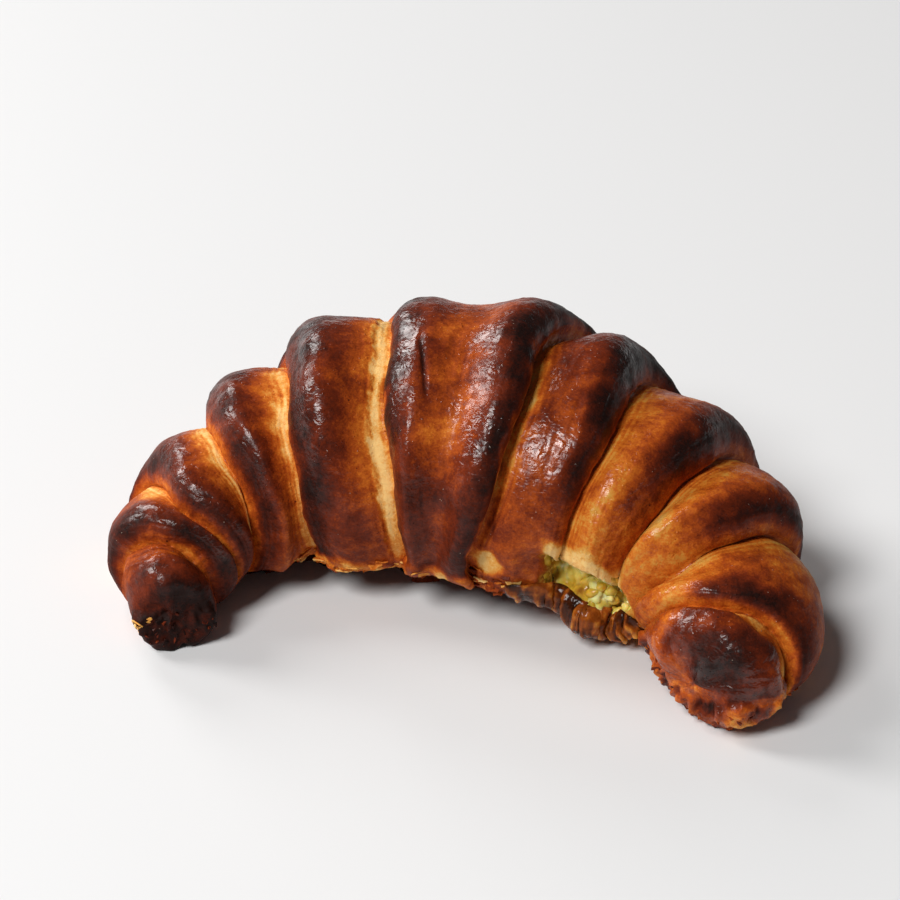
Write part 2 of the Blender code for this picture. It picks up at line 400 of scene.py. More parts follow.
rings = [softened(ring) for ring in rings]
ring_of = Ring(*[np.array(column)[:, None] for column in zip(*rings)])
ANGLES = ((0.0, 176.0, 88), (176.0, 240.0, 48), (240.0, 300.0, 12), (300.0, 360.0, 24))
degrees = np.concatenate([np.linspace(a, b, count, endpoint=False) for a, b, count in ANGLES])[None, :]
angle = np.radians(degrees)


def stray(turns, angle):
    """How far a ring strays along the roll from a flat cut, by its slant, its bow and its waver."""
    slant = np.interp(turns, range(len(SEAM_SLANT)), SEAM_SLANT)
    bow = np.interp(turns, range(len(SEAM_BOW)), SEAM_BOW)
    waver = np.sin(3 * angle + 2.1 * turns) + 0.6 * np.sin(7 * angle + 5.3 * turns)
    inside = bump(2 * turns / len(TURNS) - 1) ** 0.25
    low_side = bump((np.degrees(angle) - CREEP_ANGLE) / CREEP_HALF_ANGLE)
    creep = np.interp(turns, (8, 9, 10, 11), TIP_CREEP) * low_side
    return -creep + bow * np.sin(2 * angle) - slant * np.cos(angle) + WAVER * inside * waver


def swells(along, angle):
    """Slow swells of the surface, each a wave along and round the roll."""
    rng = np.random.default_rng(23)
    height = np.zeros_like(along + angle)
    for _ in range(SWELL_COUNT):
        length, waves, phase = rng.uniform(16.0, 45.0), rng.integers(1, 5), rng.uniform(0.0, 2 * np.pi, 2)
        height += np.sin(2 * np.pi * along / length + phase[0]) * np.cos(waves * angle + phase[1])
    return SWELL * height


tuck = np.interp(np.sin(angle), (-0.8, -0.2), (-CLEAR, TUCK))
along = ring_of.s + stray(ring_of.turns, angle) + ring_of.tuck * tuck
burst_span = bump((2 * along - BURST_START - BURST_END) / (BURST_END - BURST_START)) ** 0.5
mouth = burst_span * bump((degrees - MOUTH_ANGLE) / MOUTH_HALF_ANGLE)
lip = burst_span * bump((degrees - LIP_ANGLE) / LIP_HALF_ANGLE)
out = ring_of.open * (swells(along, angle) - MOUTH_DEPTH * mouth + LIP_REACH * lip)
widest = WIDEST_LEVEL * ring_of.high
reach = np.where(np.sin(angle) > 0, ring_of.high - widest, widest * BASE_OVERREACH)
points = place(
    along,
    (ring_of.half * ring_of.open + out) * np.cos(angle),
    np.maximum(widest + (reach * ring_of.open + out) * np.sin(angle), 0.0),
)
shape_of = points.shape[:2]


def grid_normals(grid):
    """Outward directions at the points of the roll's grid."""
    round_way = np.roll(grid, -1, axis=1) - np.roll(grid, 1, axis=1)
    normal = np.cross(round_way, np.gradient(grid, axis=0))
    normal /= np.maximum(np.linalg.norm(normal, axis=2, keepdims=True), 1e-9)
    ahead = np.where(ring_of.s > 0, 1.0, -1.0)[..., None] * np.stack(
        [np.cos(heading(ring_of.s)), np.sin(heading(ring_of.s)), 0.0 * ring_of.s], axis=-1)
    closing = 1 - step(ring_of.open, 0.05, 0.35)[..., None]
    normal = normal * (1 - closing) + ahead * closing
    return normal / np.maximum(np.linalg.norm(normal, axis=2, keepdims=True), 1e-9)


def within(x, rise_from, rise_to, fall_from, fall_to):
    """1 between two smooth slopes and 0 outside them."""
    return step(x, rise_from, rise_to) * (1 - step(x, fall_from, fall_to))


def layered(spots, layers):
    """Layers of smooth noise, each with its amount, its size and its seed, added up."""
    return sum(amount * clouds(spots, size, seed) for amount, size, seed in layers)


def ridges(spots, size, seed):
    """Noise with sharp crests between rounded hollows."""
    return 1 - 2 * np.abs(clouds(spots, size, seed))


def toward(values, goal, share):
    """Values moved to a goal by a share of the way."""
    return values + share * (goal - values)


# Where each point lies: how far out in its turn (0 at the seam, 1 at the rim), on which arm, on which side.
FLOOR_TOUCH, SKIN_RADIUS = 0.4, 26.0
out_share, turns, wall, round_deg = (
    np.broadcast_to(values, shape_of) for values in (ring_of.out, ring_of.turns, ring_of.wall, degrees))
is_middle = (turns > MIDDLE) & (turns < MIDDLE + 1)
is_left_1 = (turns > MIDDLE - 1) & (turns < MIDDLE)
right_arm = step(turns, 6.0, 7.2)
left_tip, right_tip = 1 - step(turns, 0.9, 1.02), step(turns, 9.98, 10.1)
upward = np.sin(angle) * np.ones(shape_of)
on_floor = (points[..., 2] < FLOOR_TOUCH).astype(float)
smooth = points.copy()
level = smooth[..., 2]
skin = np.stack([along, angle * SKIN_RADIUS + 0.0 * along, 0.0 * along], axis=-1)
near_seam = np.where(is_middle, 0.0, 1 - step(out_share, 0.04, 0.40))
near_rim = step(out_share, 0.93, 1.0) * (1 - np.maximum(left_tip, right_tip))

# Torn places, each with its place along the roll or its turns, and its angles round it. They are the pocket of
# the burst, the stretched band over it and the cream patch beside it, the ragged hem above the base and its
# fringe, the broken tip ends, the frayed rim of the right tip, and the pale strip beside the middle turn.
POCKET_SPAN, POCKET_ROUND = (25.0, 30.0, 62.0, 70.0), (179.0, 183.0, 200.0, 205.0)
STRETCH_ANGLE, STRETCH_HALF_ANGLE = 175.5, 10.0
PATCH_AT, PATCH_ANGLE, PATCH_HALF, PATCH_HALF_ANGLE = 12.5, 190.0, 5.0, 12.0
HEM_TOP, HEM_FOOT, HEM_TURNS = (213.0, 216.5), (262.0, 285.0), (0.8, 1.6, 9.2, 9.9)
FRINGE_TOP, FRINGE_FOOT, FRINGE_TURNS = (203.0, 208.0), (222.0, 232.0), (3.2, 4.2, 6.2, 6.6)
BURNT_LEVEL, FRAY_LEVEL, FRAY_FALL, FRAY_EDGE = (8.0, 11.0), 11.5, 3.0, 2.2
STRIP_EDGE = (0.165, 0.18)

tatter = layered(smooth, ((1.0, 4.0, 21), (0.5, 1.8, 22)))
jagged = round_deg + 3.0 * tatter
pocket_span = within(along + 2.0 * tatter, *POCKET_SPAN)
pocket = pocket_span * within(jagged, *POCKET_ROUND)
stretched = pocket_span * bump((round_deg + 2.0 * tatter - STRETCH_ANGLE) / STRETCH_HALF_ANGLE)
patch = np.hypot((along - PATCH_AT) / PATCH_HALF, (round_deg - PATCH_ANGLE) / PATCH_HALF_ANGLE)
patch = 1 - step(patch + 0.28 * tatter, 0.55, 1.0)
hem = step(round_deg + 2.5 * tatter, *HEM_TOP) * (1 - step(round_deg, *HEM_FOOT))
hem = hem * within(turns, *HEM_TURNS) * (1 - np.clip(2 * burst_span, 0, 1))
fringe = step(jagged, *FRINGE_TOP) * (1 - hem) * (1 - step(round_deg, *FRINGE_FOOT)) * (1 - lip)
fringe = fringe * within(turns, *FRINGE_TURNS)
end_left = left_tip * step(out_share + 0.05 * tatter, 0.6, 0.75)
end_left = end_left * (1 - step(level + 1.5 * tatter, *BURNT_LEVEL))
end_right = right_tip * step(out_share + 0.06 * tatter, 0.86, 0.97)
fray_line = FRAY_LEVEL - FRAY_FALL * step(out_share, 0.3, 0.95)
fray_line = fray_line + 2.6 * clouds(smooth, 6.5, 29) + 1.6 * tatter
frayed = right_tip * step(fray_line - level, 0.0, FRAY_EDGE) * (1 - on_floor)
torn_strip = step(out_share + layered(skin, ((0.06, 3.4, 24), (0.035, 1.2, 25))), *STRIP_EDGE)
torn_strip = np.where(is_left_1, torn_strip, 0.0)

# Relief of the whole crust in millimetres: slow lumps, the stretched layers beside the seams and at the rims,
# short grooves, the dark slash on the middle turn, and the fine wrinkles that drying gives.
SEAM_LAYERS, RIM_LAYERS = 12.0, 17.0
GROOVES, GROOVE_HALF, GROOVE_DEPTH = 60, 0.7, 0.14
SLASH_PLACE, SLASH_PLACE_ANGLE, SLASH_LEAN, SLASH_HALF = -9.1, 103.2, 0.139, 0.75
SLASH_ANGLE, SLASH_HALF_ANGLE, SLASH_DEPTH = 115.0, 15.0, 0.75
STRIP_RISE, WRINKLE = 0.45, 0.11

relief = layered(smooth, ((0.22, 9.0, 1), (0.12, 4.2, 2), (0.06, 2.0, 3)))
layers = np.sin(2 * np.pi * (out_share * SEAM_LAYERS + 0.4 * clouds(smooth, 6.0, 4)))
relief += 0.10 * near_seam * layers * (1 - np.clip(2 * stretched, 0, 1))
relief += near_rim * (0.15 + 0.22 * clouds(skin, 2.4, 5)) + STRIP_RISE * torn_strip
rng = np.random.default_rng(7)
grooves = np.zeros(shape_of)
for _ in range(GROOVES):
    groove_s, groove_deg = rng.uniform(-80.0, 90.0), rng.uniform(30.0, 170.0)
    half_angle, slope, depth = rng.uniform(5.0, 14.0), rng.uniform(-0.08, 0.12), rng.uniform(0.3, 1.0)
    off_line = along - groove_s - slope * (round_deg - groove_deg)
    groove = depth * bump(off_line / GROOVE_HALF) * bump((round_deg - groove_deg) / half_angle)
    grooves = np.maximum(grooves, groove)
off_slash = along - SLASH_PLACE - SLASH_LEAN * (round_deg - SLASH_PLACE_ANGLE)
slash = bump(off_slash / SLASH_HALF) * bump((round_deg - SLASH_ANGLE) / SLASH_HALF_ANGLE) ** 0.4
relief -= GROOVE_DEPTH * grooves * (1 - near_seam) + SLASH_DEPTH * slash
leather = ridges(skin * (1.0, 0.55, 1.0) + 0.6 * smooth, 2.6, 37)
relief += WRINKLE * leather * (1 - near_seam) * (0.5 + 0.5 * step(turns, 4.8, 5.6))
rim_layers = np.sin(2 * np.pi * (out_share * RIM_LAYERS + 0.3 * clouds(smooth, 8.0, 27)))
on_side_turn = (1 - is_middle) * (1 - left_tip) * (1 - right_tip)
relief += 0.07 * rim_layers * step(out_share, 0.82, 0.9) * on_side_turn

# Relief of the torn places, of the tips and of the middle turn. The left tip is pinched at its sides, bulges
# low down and ends bluntly. The middle turn swells left of its saddle and dips beside its left rim.
TIP_PINCH, TIP_BULGE, TIP_BLUNT = 2.0, 2.0, 1.6
HEM_DEPTH, PATCH_DEPTH, POCKET_DEPTH = 2.1, 0.9, 1.8

ridged = ridges(smooth, 3.2, 6)
rough = 0.75 * clouds(smooth, 4.5, 7) + 0.5 * ridged + 0.3 * clouds(smooth, 1.5, 8)
torn = ridges(smooth * (1.0, 1.0, 0.6), 2.3, 26)
shreds = ridges(smooth * (1.0, 1.0, 0.7), 1.3, 28)
relief += end_left * (rough - 0.6 + 0.4 * shreds) + 0.4 * end_right * rough
relief += frayed * (0.1 + 0.85 * rough + 0.5 * torn + 0.75 * shreds)
beside = bump(((round_deg + 180.0) % 360.0 - 180.0) / 80.0)
relief -= TIP_PINCH * left_tip * beside * step(out_share, 0.08, 0.4)
relief += TIP_BULGE * left_tip * bump((out_share - 0.84) / 0.24) * (1 - step(level, 7.0, 11.0))
relief -= TIP_BLUNT * left_tip * bump((1 - out_share) / 0.2)
relief += 0.5 * left_tip * clouds(smooth, 4.4, 9)
relief += right_tip * layered(smooth, ((0.8, 6.5, 9), (0.4, 3.2, 34)))
middle_share = turns - MIDDLE
dome = np.clip(upward, 0.0, 1.0) ** 2 * is_middle
relief += dome * (bump((middle_share - 0.40) / 0.24) - bump((middle_share - 0.14) / 0.13))
relief += fringe * (0.5 + 0.5 * ridged) - HEM_DEPTH * hem + patch * (0.3 * ridged - PATCH_DEPTH)
relief += pocket * (0.9 * ridged + 0.5 * clouds(smooth, 2.2, 10) - POCKET_DEPTH)
relief *= 1 - on_floor
points = points + relief[..., None] * grid_normals(points)
points[..., 2] = np.maximum(points[..., 2], 0.0)

# Browning, from 0 for pale dough to 1 for burnt crust, with painted shade and painted sheen worked into it in
# places. Each profile gives it from the seam (0) to the rim (1), pale where the turn comes out and darkest on
# the shoulder. The side turns have one on the left arm and two on the right arm, for the top and for the side
# that faces the bay. The right arm's profiles are darker in the seam valleys, as painted shade there, and on
# the shoulders, partly browning and partly painted shade on the side away from the windows, and paler in the
# middle of the side that faces the bay, partly a painted sheen. WIDTHS widens or narrows the pale part of each
# turn at three angles. LOW_FLANK gives the browning low on the inner side of the right arm, and the angles
# where it takes over; on right_3 and right_4 it is paler than their crust, partly a painted highlight. The
# angle used here folds back over the base, so that the back has no hard line.
SIDE = ((0.0, 0.34), (0.025, 0.22), (0.055, 0.08), (0.12, 0.18), (0.20, 0.31), (0.32, 0.43), (0.48, 0.54),
        (0.66, 0.64), (0.84, 0.77), (0.95, 0.81), (0.985, 0.70), (1.0, 0.45))
RIGHT_TOP = ((0.0, 0.38), (0.03, 0.32), (0.08, 0.25), (0.16, 0.28), (0.3, 0.34), (0.45, 0.38), (0.57, 0.44),
             (0.7, 0.54), (0.82, 0.73), (0.93, 0.92), (0.985, 0.68), (1.0, 0.42))
RIGHT = ((0.0, 0.38), (0.03, 0.33), (0.08, 0.27), (0.16, 0.29), (0.3, 0.26), (0.45, 0.23), (0.58, 0.25),
         (0.7, 0.37), (0.8, 0.56), (0.92, 0.70), (0.985, 0.60), (1.0, 0.40))
CENTRE = ((0.0, 0.46), (0.2, 0.49), (0.4, 0.55), (0.55, 0.60), (0.75, 0.71), (0.9, 0.82), (0.97, 0.72),
          (1.0, 0.40))
LEFT_TIP = ((0.0, 0.46), (0.22, 0.40), (0.38, 0.50), (0.55, 0.68), (0.75, 0.82), (1.0, 0.93))
WIDTH_ANGLES = (85.0, 130.0, 175.0)
WIDTHS = {
    0: (0.3, 0.2, 0.2), 1: (1.7, 1.4, 0.3), 2: (1.35, 1.4, 1.2), 3: (1.35, 1.5, 0.5), 4: (1.3, 1.7, 0.9),
    6: (0.6, 0.7, 0.8), 7: (0.8, 1.0, 1.0), 8: (1.0, 1.1, 1.1), 9: (1.1, 1.1, 1.1), 10: (1.2, 0.8, 0.6),
}
LOW_FLANK = {
    6: (0.45, 135.0, 170.0), 7: (0.30, 120.0, 158.0), 8: (0.20, 95.0, 130.0), 9: (0.17, 92.0, 125.0),
    10: (0.46, 100.0, 145.0),
}


def follow(profile, x):
    """A profile's value at each share."""
    return np.interp(x, *zip(*profile))


front_deg = np.where(round_deg > 235.0, np.interp(round_deg, (235.0, 325.0), (235.0, 0.0)), round_deg)
width = np.ones(shape_of)
for i, at_angles in WIDTHS.items():
    width = np.where((turns >= i) & (turns <= i + 1), np.interp(front_deg, WIDTH_ANGLES, at_angles), width)
ripple = layered(smooth, ((0.05, 8.0, 32), (0.035, 3.4, 33), (0.015, 1.6, 34))) * (1 - wall)
from_seam = out_share / (1 + (width - 1) * (1 - step(out_share, 0.25, 0.55)))
from_seam = from_seam + ripple * within(from_seam, 0.02, 0.12, 0.9, 0.98)
bake = np.where(is_middle, follow(CENTRE, out_share + 0.8 * ripple), follow(SIDE, from_seam))
bake = toward(bake, follow(RIGHT_TOP, from_seam), right_arm * (1 - is_middle))
bake = toward(bake, follow(RIGHT, from_seam), right_arm * step(front_deg, 80.0, 125.0) * (1 - is_middle))

# Places that are darker or paler than their profile: single turns, their tops, rims and low flanks. right_1 is
# darker, partly as painted shade, and the rims of the left turns near the top are paler: a painted sheen.
bake = bake + 0.10 * (turns > 6) * (1 - step(turns, 7.0, 7.02)) * (1 - step(front_deg, 140.0, 170.0))
bake = bake + 0.06 * (turns > 1) * (turns < 2) * (1 - step(out_share, 0.2, 0.4))
left_rim_sheen = bump((front_deg - 84.0) / 32.0) * step(out_share, 0.88, 0.96) * (turns > 1) * (turns < 5)
bake = bake - 0.14 * left_rim_sheen + 0.10 * (upward - 0.5) * step(out_share, 0.1, 0.4)
for i, (flank_bake, first, last) in LOW_FLANK.items():
    on_flank = ((turns > i) & (turns <= i + 1)) * step(front_deg, first, last) * (1 - wall)
    bake = toward(bake, flank_bake + 0.05 * out_share, 0.88 * on_flank)
bake = bake + is_middle * step(front_deg, 140.0, 165.0) * (0.19 - 0.26 * step(out_share, 0.5, 0.95))
bake = bake + 0.12 * is_left_1 * step(front_deg, 148.0, 172.0)
bake = bake + 0.16 * step(front_deg, 140.0, 165.0) * (turns > 0.9) * (1 - step(turns, 1.9, 2.1))
bake = toward(bake, follow(LEFT_TIP, out_share) + 0.10 * step(front_deg, 100.0, 130.0), left_tip)
bake = bake - 0.085 * near_seam * layers * step(out_share, 0.03, 0.1)
bake = bake + layered(smooth, ((0.10, 13.0, 11), (0.10, 5.5, 12), (0.06, 2.6, 13)))
blotched = np.maximum(0.7 * right_arm * (1 - near_seam), left_tip + right_tip)
bake = bake + 0.10 * blotched * clouds(smooth, 3.4, 38)
bake = np.where(wall > 0.2, 0.36 + 0.1 * clouds(smooth, 3.0, 14), bake)
# The grooves and the slash are painted darker: painted shade inside them.
bake = bake - right_tip * 0.03 + 0.3 * slash + 0.12 * grooves
bake = toward(bake, 0.10, 0.9 * right_tip * bump((out_share - 0.13) / 0.15))
# The right part of the middle turn is painted darker: partly burnt crust, partly painted shade on the side away
# from the windows.
bake = bake + 0.12 * is_middle * step(turns, 5.7, 5.95) * (1 - wall)
strip_pale = 0.14 * (1 - torn_strip) * step(out_share, 0.04, 0.08) * (out_share < 0.3)
bake = np.where(is_left_1, bake - strip_pale + 0.05 * torn_strip, bake)

# The burnt left end, the dark middle of the right tip, and the torn places with their own dough and crust.
bake = toward(bake, 0.98 + 0.2 * clouds(smooth, 2.0, 16), end_left)
from_dark = np.hypot(along - 98.5, (round_deg - 58.0) / 7.5) / 11.8 + 0.3 * clouds(smooth, 4.5, 35)
bake = toward(bake, 0.97, 0.93 * right_tip * bump(from_dark))
bake = toward(bake, 0.66 + 0.3 * clouds(smooth, 2.6, 17) - 0.3 * rough - 0.12 * shreds, frayed)
# Under the ragged hem the crust is painted dark down to the base: partly darker bottom crust, partly painted
# shade under the ledge.
bake = toward(bake, 0.34 + 0.3 * clouds(smooth, 2.6, 18), fringe) + hem * (
    0.86 + 0.12 * clouds(smooth, 5.0, 19) - bake)
bake = toward(bake, 0.5, lip) + np.clip(1.7 * stretched, 0, 1) * (0.03 - bake)
bake = toward(bake, 0.05 + 0.06 * clouds(smooth, 2.0, 20), patch)
bake = np.clip(np.where(on_floor > 0.5, 0.6 + 0.12 * clouds(smooth, 8.0, 15), bake), 0.0, 1.0)
# The pale dough of the right arm is tinted olive: the greenish cast it takes in shade there, painted on.
olive = step(turns, 5.5, 6.2) * (0.6 - 0.6 * right_tip) * (1 - 0.7 * patch) - 0.55 * stretched
olive = np.clip(olive, 0.0, 1.0)
crumb = np.clip(1.1 * pocket, 0.0, 1.0)

# Gloss, from 0 for bare crust to 1 for thick glaze. The brown tops have the most of it, and the back, the rims
# and torn crust hardly any.
low_flank = (0.72 - 0.4 * step(turns, 7.5, 8.5)) * step(front_deg, 138.0, 168.0)
brushed = (0.18 + 0.82 * step(front_deg, 48.0, 86.0)) * (1 - low_flank)
gloss = 0.25 + 0.75 * step(bake + 0.17 * right_arm, 0.25, 0.6)
gloss *= toward(brushed, 1, right_tip)
gloss *= (1 - 0.4 * near_seam) * (1 - 0.75 * step(out_share, 0.84, 0.97) * (1 - right_tip))
gloss *= 1 - 0.7 * left_tip * step(out_share, 0.55, 0.85)
gloss *= np.clip(0.85 + layered(smooth, ((0.5, 7.0, 30), (0.35, 3.0, 31))), 0.0, 1.0)
gloss *= (1 - on_floor) * (1 - 0.7 * np.maximum(np.maximum(hem, 0.6 * frayed), end_left))
gloss = np.maximum(np.clip(gloss, 0.0, 1.0), np.maximum(0.9 * pocket, 0.7 * np.clip(2 * stretched, 0, 1)))


def link(name, mesh, finish):
    """Puts a mesh in the scene with its finish, riding on the croissant's body."""
    piece = bpy.data.objects.new(name, mesh)
    piece.data.materials.append(finish.material)
    bpy.context.scene.collection.objects.link(piece)
    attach(piece, "root")
    return piece


def build(name, spots, faces, painted):
    """A mesh from points in millimetres and faces, with values painted on its points."""
    mesh = bpy.data.meshes.new(name)
    mesh.from_pydata((np.asarray(spots) * MM).tolist(), [], faces)
    for key, values in painted.items():
        mesh.attributes.new(key, "FLOAT", "POINT").data.foreach_set("value", np.asarray(values, np.float32))
    mesh.shade_smooth()
    return mesh


count, around = shape_of
row, column = np.arange(count - 1)[:, None] * around, np.arange(around)[None, :]
ahead = (column + 1) % around
quads = np.stack([row + column, row + ahead, row + ahead + around, row + column + around], axis=-1)
quads = quads.reshape(-1, 4).tolist()
centre, top = count * around, (count - 1) * around
quads += [(centre, (k + 1) % around, k) for k in range(around)]
quads += [(centre + 1, top + k, top + (k + 1) % around) for k in range(around)]
crust_spots = np.concatenate([points.reshape(-1, 3), [points[0].mean(axis=0), points[-1].mean(axis=0)]])
crust_paint = {
    key: np.concatenate([values.reshape(-1), values[0, :1], values[-1, :1]])
    for key, values in (("bake", bake), ("olive", olive), ("crumb", crumb), ("gloss", gloss))
}

BROWNING = (
    (0.00, (0.92, 0.60, 0.22)),
    (0.14, (0.82, 0.37, 0.07)),
    (0.28, (0.62, 0.155, 0.014)),
    (0.44, (0.37, 0.062, 0.006)),
    (0.62, (0.16, 0.020, 0.0035)),
    (0.82, (0.060, 0.008, 0.0025)),
    (1.00, (0.015, 0.004, 0.0025)),
)
# The olive of dough in shade, painted on, and the pale colour of painted glints on blisters.
SHADE_OLIVE, PAINTED_GLINT = (0.33, 0.18, 0.018), (0.80, 0.60, 0.45)
MOIST = ((0.20, 0.10, 0.01), (0.62, 0.42, 0.07))


def crust_look(name):
    """Browned crust, coloured by how long it baked and by painted shade, sheen and glints, with an egg glaze
    over it in broken patches.
    """
    finish = Finish(name, Roughness=0.62, Specular_IOR_Level=0.12)
    baked = finish.painted("bake")
    patchy = finish.grain(5.0, 5.0, 0.62, warp=0.5)
    mottle = finish.grain(1.5, 4.0, 0.65)
    speck = finish.grain(0.45, 2.0, 0.6)
    pits = finish.cells(3.3).between(0.04, 0.085, 1.0, 0.0) * patchy.between(0.48, 0.54)
    tone = baked + (patchy - 0.5) * 0.42 + (mottle - 0.5) * 0.40 + (speck - 0.5) * 0.26 + pits * 0.3
    tint = finish.painted("olive") * tone.between(0.08, 0.36, 0.75, 0.0)
    brown = finish.mix(tint, finish.ramp(BROWNING, tone), SHADE_OLIVE)
    moist = finish.mix(finish.grain(1.1, 3.0).between(0.35, 0.65), *MOIST)
    brown = finish.mix(finish.painted("crumb"), brown, moist)
    cells = finish.cells(1.5)
    blister = cells.between(0.06, 0.2, 1.0, 0.0)
    # Small pale dots on some blisters are painted glints.
    painted_glint = cells.between(0.035, 0.08, 1.0, 0.0) * finish.grain(2.3).between(0.54, 0.58)
    brown = finish.mix(painted_glint * 0.55, brown, PAINTED_GLINT)
    pore = finish.grain(1.9, 2.0).between(0.62, 0.72)
    creases = finish.grain(1.25, 1.5, 0.5, where=finish.places((0.7, 0.7, 1.3)), warp=0.6)
    height = creases * 0.21 + speck * 0.03 + blister * 0.07 - pore * 0.05
    surface = {"Base Color": brown, "Normal": finish.bump(height, 1.0)}
    finish.feed(finish.shader, surface)
    glazed = finish.add("ShaderNodeBsdfPrincipled", None, {
        **surface, "IOR": 1.5, "Roughness": 0.15 + 0.16 * mottle.between(0.45, 0.65)})
    patches = finish.painted("gloss") * finish.grain(2.6, 3.0, 0.6).between(0.36, 0.56, 0.25, 1.0)
    skin_of = {0: patches, 1: Link(finish, finish.shader.outputs[0]), 2: glazed}
    mixed = finish.add("ShaderNodeMixShader", None, skin_of)
    finish.feed(finish.tree.nodes["Material Output"], {"Surface": mixed})
    return finish


crust_finish = crust_look("browned_crust")
crust = link("rolled_crust", build("rolled_crust", crust_spots, quads, crust_paint), crust_finish)
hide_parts("croissant")


# The pleated skirt of the burst
# Below the burst the stretched dough hangs out in a thin, moist, brown sheet. It dried into pleats and tore
# along its lower edge.
climb = np.maximum.accumulate(along, axis=0)
outward = grid_normals(points)


def on_crust(s, deg):
    """Points on the crust, by place along the roll and angle in degrees, and the outward directions there."""
    s, deg = np.broadcast_arrays(np.asarray(s, float), np.asarray(deg, float))
    spots, ways = np.zeros(s.shape + (3,)), np.zeros(s.shape + (3,))
    for where in np.ndindex(s.shape):
        k = np.interp(deg[where] % 360.0, degrees[0], np.arange(around))
        for side, weight in ((int(k), 1 - k % 1), ((int(k) + 1) % around, k % 1)):
            r = np.interp(s[where], climb[:, side], np.arange(count))
            for end, share in ((int(r), 1 - r % 1), (min(int(r) + 1, count - 1), r % 1)):
                spots[where] += weight * share * points[end, side]
                ways[where] += weight * share * outward[end, side]
    return spots, ways


def sheet(grid, thickness):
    """Points and faces of a closed thin sheet round a grid of points."""
    wide, tall = grid.shape[:2]
    normal = np.cross(np.gradient(grid, axis=0), np.gradient(grid, axis=1))
    normal /= np.maximum(np.linalg.norm(normal, axis=2, keepdims=True), 1e-9)
    half = np.broadcast_to(np.asarray(thickness, float), (wide, tall))[..., None] / 2
    spots = np.concatenate([(grid + half * normal).reshape(-1, 3), (grid - half * normal).reshape(-1, 3)])
    spots[:, 2] = np.maximum(spots[:, 2], 0.05)
    index = np.arange(wide * tall).reshape(wide, tall)
    a, b, c, d = index[:-1, :-1], index[1:, :-1], index[1:, 1:], index[:-1, 1:]
    faces = np.stack([a, b, c, d], axis=-1).reshape(-1, 4).tolist()
    back_side = wide * tall
    faces += (np.stack([d, c, b, a], axis=-1).reshape(-1, 4) + back_side).tolist()
    rim = np.concatenate([index[:-1, 0], index[-1, :-1], index[:0:-1, -1], index[0, :0:-1]])
    following = np.roll(rim, -1)
    faces += np.stack([following, rim, rim + back_side, following + back_side], axis=-1).tolist()
    return spots, faces


def gather(parts):
    """Joins lists of points, faces and painted values into one."""
    spots, faces, values, start = [], [], [], 0
    for part_spots, part_faces, part_values in parts:
        spots.append(part_spots)
        faces += [tuple(k + start for k in face) for face in part_faces]
        values.append(np.broadcast_to(part_values, len(part_spots)))
        start += len(part_spots)
    return np.concatenate(spots), faces, np.concatenate(values)


SKIRT_WIDE, SKIRT_TALL, SKIRT_THICK, SKIRT_LOWEST = 150, 18, 0.55, 0.5
SKIRT_SPAN, SKIRT_TOP, SKIRT_DROP = (17.5, 73.0), 201.0, 30.0
SKIRT_MIDDLE, SKIRT_HALF, SKIRT_SMOOTH = 44.0, 31.0, 33
PLEAT, SMALL_PLEAT = 2.9, 1.5
SKIRT_COLOURS = (
    (0.0, (0.018, 0.005, 0.002)),
    (0.4, (0.075, 0.015, 0.003)),
    (0.7, (0.30, 0.070, 0.008)),
    (1.0, (0.74, 0.30, 0.04)),
)

across = np.linspace(*SKIRT_SPAN, SKIRT_WIDE)[:, None]
down = np.linspace(0.0, 1.0, SKIRT_TALL)[None, :]
edge = np.stack([across[:, 0], 0 * across[:, 0], 0 * across[:, 0]], axis=-1)
hang = 0.86 + layered(edge, ((0.20, 5.0, 31), (0.16, 1.8, 32)))
hang = hang * bump((across[:, 0] - SKIRT_MIDDLE) / SKIRT_HALF) ** 0.35
base, way = on_crust(across, SKIRT_TOP + SKIRT_DROP * down * hang[:, None])
kernel = np.hanning(SKIRT_SMOOTH + 2)[1:-1] / np.hanning(SKIRT_SMOOTH + 2).sum()
for axis in range(3):
    for v in range(SKIRT_TALL):
        padded = np.pad(base[:, v, axis], SKIRT_SMOOTH // 2, mode="reflect", reflect_type="odd")
        base[:, v, axis] = np.convolve(padded, kernel, mode="valid")
cloth = np.stack([across + 0.0 * down, 2.6 * down + 0.0 * across, 0.0 * across + 0.0 * down], axis=-1)
folds = ridges(cloth, PLEAT, 33) - np.abs(clouds(cloth, SMALL_PLEAT, 37))
pleat = 0.75 * folds - 0.1
way[..., 2] *= 0.4
out_by = 0.8 + 1.3 * down**1.5 + pleat * (0.3 + 1.3 * down) + 0.4 * clouds(base, 3.0, 34)
grid = base + way * out_by[..., None]
grid[..., 2] = np.maximum(grid[..., 2], SKIRT_LOWEST + 0.3 * clouds(edge, 2.0, 35)[:, None])
skirt_finish = Finish("moist_skirt", Roughness=0.14, IOR=1.4, Specular_IOR_Level=0.28,
                      Subsurface_Weight=0.15, Subsurface_Scale=0.002)
thin = skirt_finish.painted("thin") + (skirt_finish.grain(1.4, 3.0) - 0.5) * 0.7
skirt_finish.feed(skirt_finish.shader, {
    "Base Color": skirt_finish.ramp(SKIRT_COLOURS, thin),
    "Normal": skirt_finish.bump(skirt_finish.grain(1.1, 1.0), 0.2),
})
spots, faces = sheet(grid, SKIRT_THICK)
# The pleat ridges are painted paler and the hollows darker: partly the thinner, clearer dough of the ridges,
# partly painted light and shade on the folds. The sheet is also darker near its top and paler at its torn lower
# edge.
paint = 0.58 + 0.6 * pleat - 0.25 * (1 - down) + 0.3 * down**4 + 0.2 * clouds(base, 4.0, 36)
paint = np.clip(paint, 0.0, 1.0).reshape(-1)
skirt = build("pleated_skirt", spots, faces, {"thin": np.concatenate([paint, paint])})
link("pleated_skirt", skirt, skirt_finish)


